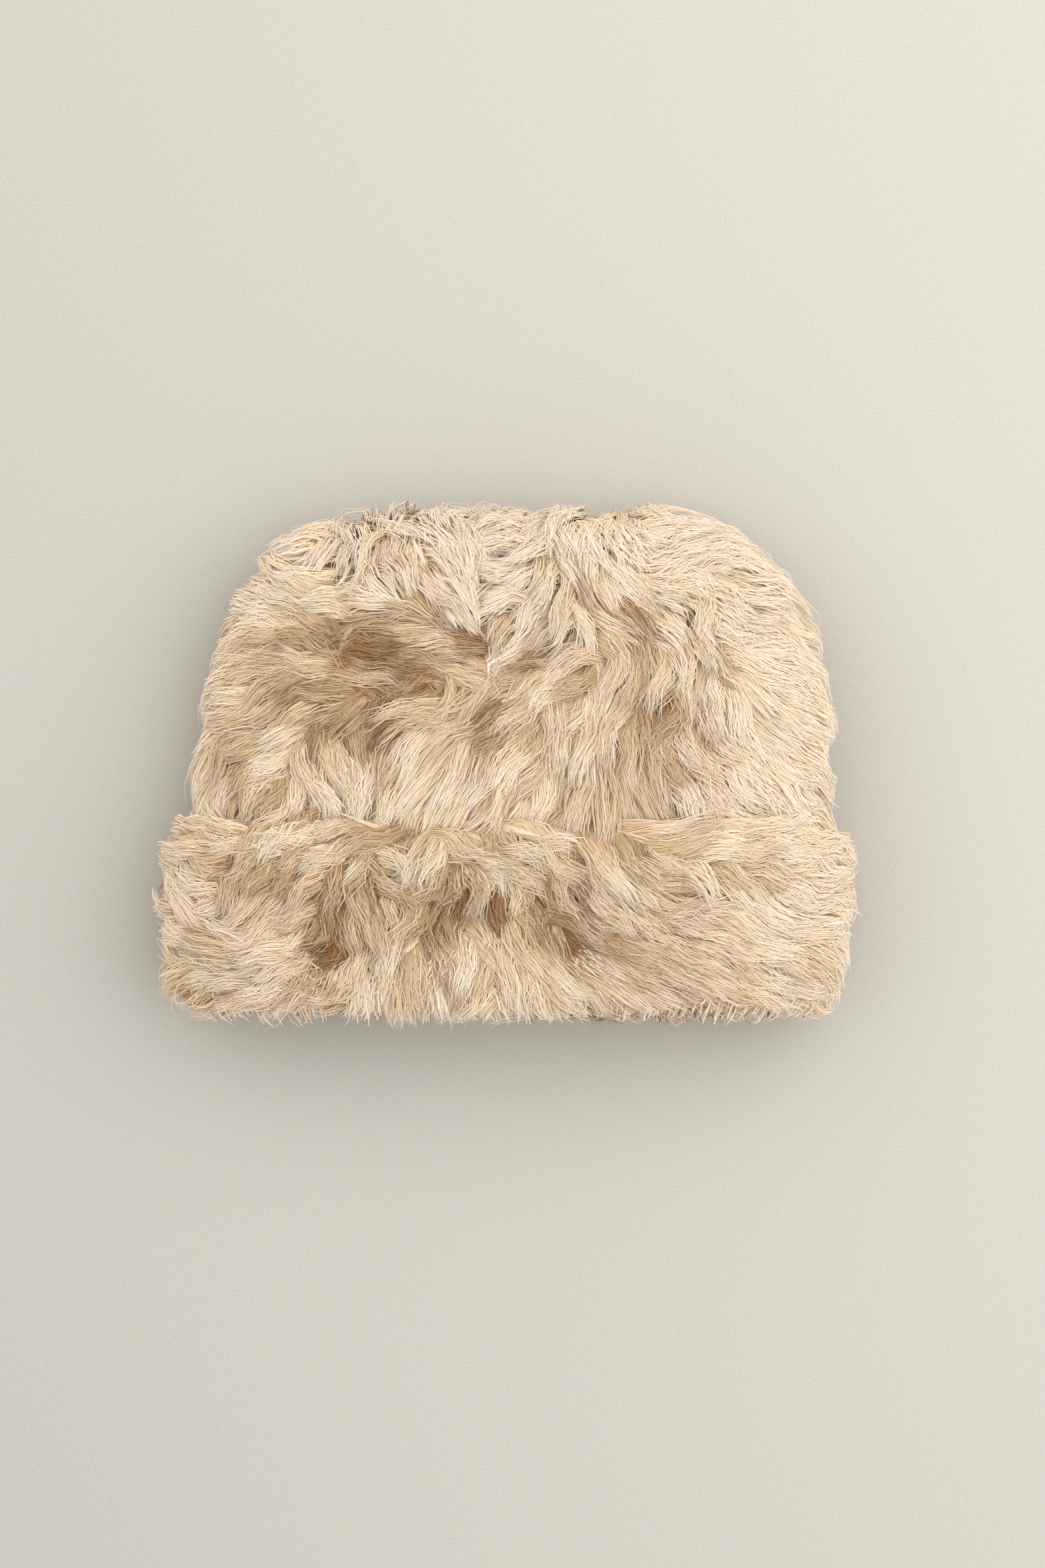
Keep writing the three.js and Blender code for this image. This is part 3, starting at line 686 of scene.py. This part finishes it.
def ribbons(name, strands, picks, material):
    """One mesh of thin tapering ribbons, one for each strand, mapped by tone and by the place along it."""
    path = strands["path"][picks]
    normal = strands["normal"][picks]
    heart = strands["heart"][picks]
    count, points = path.shape[:2]
    way = unit(np.gradient(path, axis=1))
    round_lock = unit(path - (heart - normal * 5 * MM))
    upward = np.array([0, 0, 0.6]) * smooth(-0.6, 0.1, normal[..., 2:3])
    base = unit(normal * 0.4 + round_lock * 0.4 + upward)
    side = unit(np.cross(base, way))
    rng = np.random.default_rng(len(picks))
    roll = rng.normal(0, strands["roll"], (count, 1, 1))
    face = np.cross(way, side)
    side = side * np.cos(roll) + face * np.sin(roll)
    s = np.linspace(0, 1, points)
    taper = np.interp(s, [0, 0.25, 0.55, 0.8, 1], [0.7, 1.0, 0.9, 0.55, 0.04])
    half = strands["width"][picks][:, None, None] * taper[None, :, None] / 2
    per = 2 * points - 1
    left = slice(0, per - 1, 2)
    right = slice(1, per - 1, 2)
    corners = np.zeros((count, per, 3))
    corners[:, left] = (path - side * half)[:, :-1]
    corners[:, right] = (path + side * half)[:, :-1]
    corners[:, -1] = path[:, -1]

    # Normals lean a little to each side, so that a flat ribbon takes light as a round strand does
    lean = 0.12
    shade = np.zeros_like(corners)
    shade[:, left] = unit(base - side * lean)[:, :-1]
    shade[:, right] = unit(base + side * lean)[:, :-1]
    shade[:, -1] = base[:, -1]

    start = (np.arange(count) * per)[:, None, None]
    k = np.arange(points - 2)
    quads = np.stack([2 * k, 2 * k + 2, 2 * k + 3, 2 * k + 1], axis=1)[None]
    quads = (start + quads).reshape(count, -1)
    last = 2 * (points - 2)
    tips = start[:, 0] + np.array([[last, last + 2, last + 1]])
    loops = np.concatenate([quads, tips], axis=1)
    sizes = np.tile([4] * (points - 2) + [3], count)
    begins = np.concatenate([[0], np.cumsum(sizes)[:-1]])

    mesh = bpy.data.meshes.new(name)
    mesh.vertices.add(count * per)
    mesh.vertices.foreach_set("co", corners.reshape(-1).astype(np.float32))
    mesh.loops.add(loops.size)
    mesh.loops.foreach_set("vertex_index", loops.reshape(-1).astype(np.int32))
    mesh.polygons.add(len(sizes))
    mesh.polygons.foreach_set("loop_start", begins.astype(np.int32))
    mesh.update(calc_edges=True)

    # Across the map runs the strand's tone, with its painted light and shade, and up it the place along the
    # strand
    tone = np.clip(0.5 + 0.17 * strands["tone"][picks], 0.02, 0.97)
    u = np.repeat(tone[:, None], per, axis=1)
    u[:, 1::2] += strands["span"]
    places = s[None, :] * strands["ends"][picks][:, None]
    v = 0.01 + 0.98 * np.repeat(places, 2, axis=1)[:, :-1]
    flat = loops.reshape(-1)
    spots = np.stack([u.reshape(-1)[flat], v.reshape(-1)[flat]], axis=1)
    uv = mesh.uv_layers.new(name="OFBake")
    uv.data.foreach_set("uv", spots.reshape(-1).astype(np.float32))
    mesh.polygons.foreach_set("use_smooth", np.ones(len(sizes), bool))
    mesh.normals_split_custom_set_from_vertices(shade.reshape(-1, 3).tolist())
    mesh.materials.append(material)
    return put(name, mesh)


def under_wool(name, hide, share, material):
    """The dense wool near the skin, that closes the view between the locks."""
    rng = np.random.default_rng(7)
    rough = blur(rng.normal(0, 1, (hide.rows, hide.columns, 1)), 2)
    rough = rough / rough.std()
    height = hide.pile * share * (1 + 0.12 * rough)
    if hide.fold:
        row = np.arange(hide.rows)[:, None, None]
        ends = 0.85 * smooth(0, 8, row) * smooth(0, 8, hide.rows - 1 - row)
        height = height * (0.15 + ends)
    points = hide.points + hide.normals * height
    points[..., 2] = np.maximum(points[..., 2], UNDER_LOW)
    rows, columns = hide.rows, hide.columns
    row, column = np.meshgrid(np.arange(rows - 1), np.arange(columns), indexing="ij")
    beside = (column + 1) % columns
    here, above = row * columns, (row + 1) * columns
    faces = np.stack([here + column, here + beside, above + beside, above + column], axis=-1)
    faces = faces.reshape(-1, 4)
    corners = points.reshape(-1, 3)
    a, b, c = corners[faces[:, 0]], corners[faces[:, 1]], corners[faces[:, 2]]
    outward = (np.cross(b - a, c - a) * hide.normals.reshape(-1, 3)[faces[:, 0]]).sum()
    if outward < 0:
        faces = faces[:, ::-1]
    mesh = bpy.data.meshes.new(name)
    mesh.from_pydata(corners.tolist(), [], faces.tolist())
    mesh.polygons.foreach_set("use_smooth", np.ones(len(mesh.polygons), bool))
    mesh.materials.append(material)
    return put(name, mesh)


def linear(colour):
    """A screen colour as the shaders count it."""
    return tuple(c / 12.92 if c <= 0.04045 else ((c + 0.055) / 1.055) ** 2.4 for c in colour[:3]) + (1.0,)


def ramp(nodes, stops):
    """A colour ramp with these places and colours."""
    node = nodes.new("ShaderNodeValToRGB")
    elements = node.color_ramp.elements
    while len(elements) > 1:
        elements.remove(elements[-1])
    elements[0].position, elements[0].color = stops[0]
    for place, colour in stops[1:]:
        element = elements.new(place)
        element.color = colour
    return node


def grey(value):
    return (value, value, value, 1.0)


def multiplied(nodes, links, one, other):
    """Two colours multiplied."""
    mix = nodes.new("ShaderNodeMix")
    mix.data_type = "RGBA"
    mix.blend_type = "MULTIPLY"
    mix.inputs["Factor"].default_value = 1.0
    links.new(one, mix.inputs[6])
    links.new(other, mix.inputs[7])
    return mix.outputs[2]


def new_material(name, roughness, specular):
    """A new material, with its nodes, its links and its shader."""
    material = bpy.data.materials.new(name)
    material.use_nodes = True
    nodes, links = material.node_tree.nodes, material.node_tree.links
    shader = nodes["Principled BSDF"]
    shader.inputs["Roughness"].default_value = roughness
    shader.inputs["Specular IOR Level"].default_value = specular
    return material, nodes, links, shader


def noise_over(nodes, links, where, scale, detail):
    """Noise over the given places."""
    noise = nodes.new("ShaderNodeTexNoise")
    noise.inputs["Scale"].default_value = scale
    noise.inputs["Detail"].default_value = detail
    links.new(where, noise.inputs["Vector"])
    return noise.outputs["Fac"]


def coloured(nodes, links, value, stops):
    """A value's colour on a ramp."""
    shades = ramp(nodes, stops)
    links.new(value, shades.inputs[0])
    return shades.outputs["Color"]


def roughen(nodes, links, shader, height, strength, distance):
    """Gives a shader fine bumps."""
    bump = nodes.new("ShaderNodeBump")
    bump.inputs["Strength"].default_value = strength
    bump.inputs["Distance"].default_value = distance
    links.new(height, bump.inputs["Height"])
    links.new(bump.outputs["Normal"], shader.inputs["Normal"])


def wool_material(colours):
    """Wool that is darker at the root and pale at the tip, partly its own colour and partly painted shade
    deep in the pile, each strand with a tone of its own that also carries painted light and shade.
    """
    material, nodes, links, shader = new_material("lambs_wool", roughness=0.62, specular=0.15)
    where = nodes.new("ShaderNodeUVMap")
    where.uv_map = "OFBake"
    parts = nodes.new("ShaderNodeSeparateXYZ")
    links.new(where.outputs["UV"], parts.inputs[0])
    # Root to tip: the darker root is partly the wool's own colour and partly painted shade deep in the pile
    lengthwise = coloured(nodes, links, parts.outputs["Y"], [
        (0.0, linear(colours.root)),
        (0.5, linear(colours.middle)),
        (0.92, linear(colours.tip)),
        (1.0, linear(colours.tip)),
    ])
    # The strand's tone: its own random tone with painted light and shade, darkest where shade is painted in
    # the hollows
    toned_and_shaded = coloured(nodes, links, parts.outputs["X"], [
        (0.0, linear((0.57, 0.44, 0.31))),
        (0.3, linear((0.89, 0.855, 0.80))),
        (0.5, grey(0.98)),
        (1.0, grey(1.04)),
    ])
    stretch = nodes.new("ShaderNodeVectorMath")
    stretch.operation = "MULTIPLY"
    stretch.inputs[1].default_value = (260.0, 3.0, 1.0)
    links.new(where.outputs["UV"], stretch.inputs[0])
    streaks = noise_over(nodes, links, stretch.outputs[0], scale=1.0, detail=1.0)
    streaked = coloured(nodes, links, streaks, [(0.3, grey(0.86)), (0.5, grey(1.0)), (0.68, grey(1.05))])
    mixed = multiplied(nodes, links, lengthwise, toned_and_shaded)
    links.new(multiplied(nodes, links, mixed, streaked), shader.inputs["Base Color"])
    return material


def under_material(colours):
    """The dense wool near the skin, in the root colour, which is partly painted shade deep in the pile."""
    material, nodes, links, shader = new_material("under_wool", roughness=0.9, specular=0.1)
    where = nodes.new("ShaderNodeTexCoord").outputs["Object"]
    noise = noise_over(nodes, links, where, scale=420.0, detail=4.0)
    dark, light = [0.9 * c for c in colours.root], [1.1 * c for c in colours.root]
    stops = [(0.3, linear(dark)), (0.7, linear(light))]
    links.new(coloured(nodes, links, noise, stops), shader.inputs["Base Color"])
    roughen(nodes, links, shader, noise, strength=0.6, distance=1.5 * MM)
    return material


def suede_material(colours):
    """The flesh side of the skin, cloudy and with a fine nap."""
    material, nodes, links, shader = new_material("suede", roughness=0.88, specular=0.2)
    shader.inputs["Sheen Weight"].default_value = 0.3
    where = nodes.new("ShaderNodeTexCoord").outputs["Object"]
    clouds = noise_over(nodes, links, where, scale=38.0, detail=5.0)
    nap = noise_over(nodes, links, where, scale=1400.0, detail=3.0)
    stops = [
        (0.3, linear([0.82 * c for c in colours.suede])),
        (0.5, linear(colours.suede)),
        (0.72, linear([min(1.0, 1.1 * c) for c in colours.suede])),
    ]
    links.new(coloured(nodes, links, clouds, stops), shader.inputs["Base Color"])
    roughen(nodes, links, shader, nap, strength=0.5, distance=0.4 * MM)
    return material


def ground_material(colours):
    """A pale ground with painted shade, darker towards the lower left as the camera sees it."""
    material, nodes, links, shader = new_material("pale_ground", roughness=0.95, specular=0.1)
    where = nodes.new("ShaderNodeTexCoord").outputs["Object"]
    noise = noise_over(nodes, links, where, scale=900.0, detail=4.0)
    dark, light = [0.975 * c for c in colours.ground], [1.02 * c for c in colours.ground]
    stops = [(0.3, linear(dark)), (0.7, linear(light))]
    speckled = coloured(nodes, links, noise, stops)
    # Painted shade: the ground grows darker towards the lower left
    slope = nodes.new("ShaderNodeVectorMath")
    slope.operation = "DOT_PRODUCT"
    slope.inputs[1].default_value = GROUND_PAINTED_FALLOFF
    links.new(where, slope.inputs[0])
    centred = nodes.new("ShaderNodeMath")
    centred.inputs[1].default_value = 0.5
    links.new(slope.outputs["Value"], centred.inputs[0])
    painted_falloff = coloured(nodes, links, centred.outputs[0], [(0.0, grey(0.84)), (1.0, grey(1.0))])
    links.new(multiplied(nodes, links, speckled, painted_falloff), shader.inputs["Base Color"])
    return material


def length_property(name, description, metres):
    return FloatProperty(name=name, description=description, default=metres, unit="LENGTH")


def colour_property(name, description, colour):
    return FloatVectorProperty(name=name, description=description, default=colour, subtype="COLOR_GAMMA")


class WoolSizes(bpy.types.PropertyGroup):
    """Sizes of the wool."""

    length: length_property("Lock length", "Length of a lock from root to tip", 0.042)
    wave: length_property("Wave", "How far the wool swings to each side", 0.0022)
    curl: length_property("Curl", "How far the tips turn aside", 0.0045)
    strand: length_property("Strand width", "Width of one strand", 0.00052)
    loose: length_property("Looseness", "How far strands stray from their wisp", 0.0008)
    pattern: IntProperty(name="Pattern", description="Picks the chance differences", default=11)


class HatColours(bpy.types.PropertyGroup):
    """Colours of the hat and of what it lies on."""

    # The root colour is partly the wool's own and partly painted shade deep in the pile; the under-wool
    # takes it too
    root: colour_property("Root", "Wool near the skin", (0.79, 0.645, 0.48))
    middle: colour_property("Middle", "Wool half way up", (0.935, 0.84, 0.715))
    tip: colour_property("Tip", "Tips of the wool", (0.995, 0.945, 0.88))
    suede: colour_property("Suede", "Flesh side of the skin", (0.84, 0.76, 0.63))
    ground: colour_property("Ground", "The surface under the hat", (0.79, 0.776, 0.739))


class LAMBSKIN_OT_crown_wool(bpy.types.Operator):
    """Grow the crown's wool"""

    bl_idname = "lambskin.crown_wool"
    bl_label = "Crown Wool"

    def execute(self, context):
        sizes = context.scene.wool_sizes
        hide = crown_hide()
        settings = {
            "locks": 440, "wisps": 7200, "length": sizes.length, "stray": 6,
            "wave": sizes.wave, "curl": sizes.curl, "gather": 0.55,
        }
        wool = Wool(hide, CROWN_LAY, settings, sizes.pattern, rest_way=(0.35, -1.0)).grow()
        lay_down("crown_wool", wool, sizes, share=0.56, parts=3)
        return {"FINISHED"}


class LAMBSKIN_OT_cuff_wool(bpy.types.Operator):
    """Grow the cuff's wool"""

    bl_idname = "lambskin.cuff_wool"
    bl_label = "Cuff Wool"

    def execute(self, context):
        sizes = context.scene.wool_sizes
        hide = cuff_hide()
        settings = {
            "locks": 320, "wisps": 5200, "length": 1.05 * sizes.length, "stray": 9,
            "wave": 1.2 * sizes.wave, "curl": 1.4 * sizes.curl, "gather": 0.55,
        }
        wool = Wool(hide, CUFF_LAY, settings, sizes.pattern + 1, rest_way=(1.0, -0.6)).grow()
        lay_down("cuff_wool", wool, sizes, share=0.44, parts=2)
        return {"FINISHED"}


def lay_down(node, wool, sizes, share, parts):
    """Makes a node's under-wool and its share of the strands, the fine ones in parts from left to right."""
    colours = bpy.context.scene.hat_colours
    material = bpy.data.materials.get("lambs_wool") or wool_material(colours)
    base = bpy.data.materials.get("under_wool") or under_material(colours)
    # Painted light and shade: the deep strands are painted darker and the fine top strands lighter, and all
    # are painted darker in the pile's hollows
    deep_look = {
        "wisps": wool.even, "loose": 1.5 * sizes.loose, "rise": 0, "shrink": 0, "ends": (0.8, 1.0),
        "fly": 0, "span": 0.02, "tone": -0.3, "hollow": 3.4, "roll": 0.06,
    }
    broad_look = {
        "wisps": wool.bunched, "loose": 0.6 * sizes.loose, "rise": 0, "shrink": 0.35, "ends": (0.6, 0.9),
        "fly": 0, "span": 0.02, "tone": 0, "hollow": 2.6, "roll": 0.12,
    }
    fine_look = {
        "wisps": wool.bunched, "loose": 0.95 * sizes.loose, "rise": 0.7 * MM, "shrink": 0.4,
        "ends": (0.75, 1.0), "fly": 0.11, "span": 0.004, "tone": 0.2, "hollow": 2.1, "roll": 0.15,
    }
    fringe_look = {"length": (4 * MM, 13 * MM), "tone": 0.1, "span": 0.01, "roll": 0.15}
    deep = wool.strands(int(DEEP_COUNT * share), DEEP_POINTS, DEEP_WIDTH, deep_look)
    broad = wool.strands(int(BROAD_COUNT * share), BROAD_POINTS, 2.2 * sizes.strand, broad_look)
    fine = wool.strands(int(FINE_COUNT * share), FINE_POINTS, 0.95 * sizes.strand, fine_look)
    made = [under_wool(node + "_under", wool.hide, UNDER_SHARE, base)]
    made.append(ribbons(node + "_deep", deep, np.arange(len(deep["width"])), material))
    if wool.hide.fold:
        fringe = wool.fringe(FRINGE_COUNT, FRINGE_POINTS, 1.6 * sizes.strand, fringe_look)
        made.append(ribbons(node + "_fringe", fringe, np.arange(len(fringe["width"])), material))
    for label, strands, pieces in (("broad", broad, 1), ("fine", fine, parts)):
        order = np.argsort(strands["path"][:, 0, 0])
        for part, picks in enumerate(np.array_split(order, pieces)):
            made.append(ribbons(f"{node}_{label}_{part + 1}", strands, picks, material))
    for piece in made:
        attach(piece, "root")
        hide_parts(node)


class LAMBSKIN_OT_skins(bpy.types.Operator):
    """Give the skins their suede"""

    bl_idname = "lambskin.skins"
    bl_label = "Skins"

    def execute(self, context):
        suede = suede_material(context.scene.hat_colours)
        for node in ("crown_skin", "cuff_skin"):
            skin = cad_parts[node]
            skin.data.materials.clear()
            skin.data.materials.append(suede)
        return {"FINISHED"}


class LAMBSKIN_OT_stage(bpy.types.Operator):
    """Set the ground, the lights and the camera"""

    bl_idname = "lambskin.stage"
    bl_label = "Stage"

    def execute(self, context):
        ground = bpy.data.meshes.new("ground")
        far = GROUND_HALF
        corners = [(-far, -far, 0), (far, -far, 0), (far, far, 0), (-far, far, 0)]
        ground.from_pydata(corners, [], [(0, 1, 2, 3)])
        ground.materials.append(ground_material(context.scene.hat_colours))
        floor = put("ground", ground)
        lamp("key", *KEY_LAMP)
        lamp("fill", *FILL_LAMP)
        world = bpy.data.worlds.new("soft_room")
        world.use_nodes = True
        light = world.node_tree.nodes["Background"].inputs
        light[0].default_value = ROOM_COLOUR
        light[1].default_value = ROOM_LIGHT
        context.scene.world = world
        context.scene.view_settings.view_transform = "Standard"
        camera()
        return {"FINISHED"}


def lamp(name, where, size, power):
    """A round soft lamp that faces the hat."""
    light = bpy.data.lights.new(name, "AREA")
    light.shape = "DISK"
    light.size = size
    light.energy = power
    holder = put(name, light)
    holder.location = where
    holder.rotation_mode = "QUATERNION"
    holder.rotation_quaternion = (Vector((0, 0, HAT_LEVEL)) - Vector(where)).to_track_quat("-Z", "Y")


def camera():
    """A camera that looks straight down, as the photo's does."""
    data = bpy.data.cameras.new("camera")
    data.sensor_fit = "VERTICAL"
    data.sensor_height = SENSOR_MM
    data.lens = SENSOR_MM * (CAMERA_HEIGHT - HAT_LEVEL) / (PHOTO_TALL * PHOTO_MM * MM)
    middle_x = (PHOTO_WIDE / 2 - HAT_MIDDLE_PX[0]) * PHOTO_MM * MM
    middle_y = (HAT_MIDDLE_PX[1] - PHOTO_TALL / 2) * PHOTO_MM * MM
    holder = put("camera", data)
    holder.location = (middle_x, middle_y, CAMERA_HEIGHT)
    bpy.context.scene.camera = holder


class LAMBSKIN_PT_panel(bpy.types.Panel):
    """The hat's steps, sizes and colours"""

    bl_label = "Lambskin Hat"
    bl_idname = "LAMBSKIN_PT_panel"
    bl_space_type = "VIEW_3D"
    bl_region_type = "UI"
    bl_category = "Lambskin Hat"

    def draw(self, context):
        layout = self.layout
        for group in (context.scene.wool_sizes, context.scene.hat_colours):
            for name in group.__annotations__:
                layout.prop(group, name)
        for operator in OPERATORS:
            layout.operator(operator.bl_idname)


GROUPS = (WoolSizes, HatColours)
OPERATORS = (LAMBSKIN_OT_skins, LAMBSKIN_OT_crown_wool, LAMBSKIN_OT_cuff_wool, LAMBSKIN_OT_stage)


def register():
    for each in (*GROUPS, *OPERATORS, LAMBSKIN_PT_panel):
        bpy.utils.register_class(each)
    bpy.types.Scene.wool_sizes = PointerProperty(type=WoolSizes)
    bpy.types.Scene.hat_colours = PointerProperty(type=HatColours)


def unregister():
    del bpy.types.Scene.hat_colours
    del bpy.types.Scene.wool_sizes
    for each in reversed((*GROUPS, *OPERATORS, LAMBSKIN_PT_panel)):
        bpy.utils.unregister_class(each)


def main():
    register()
    bpy.ops.lambskin.skins()
    bpy.ops.lambskin.crown_wool()
    bpy.ops.lambskin.cuff_wool()
    bpy.ops.lambskin.stage()


if __name__ == "__main__":
    main()
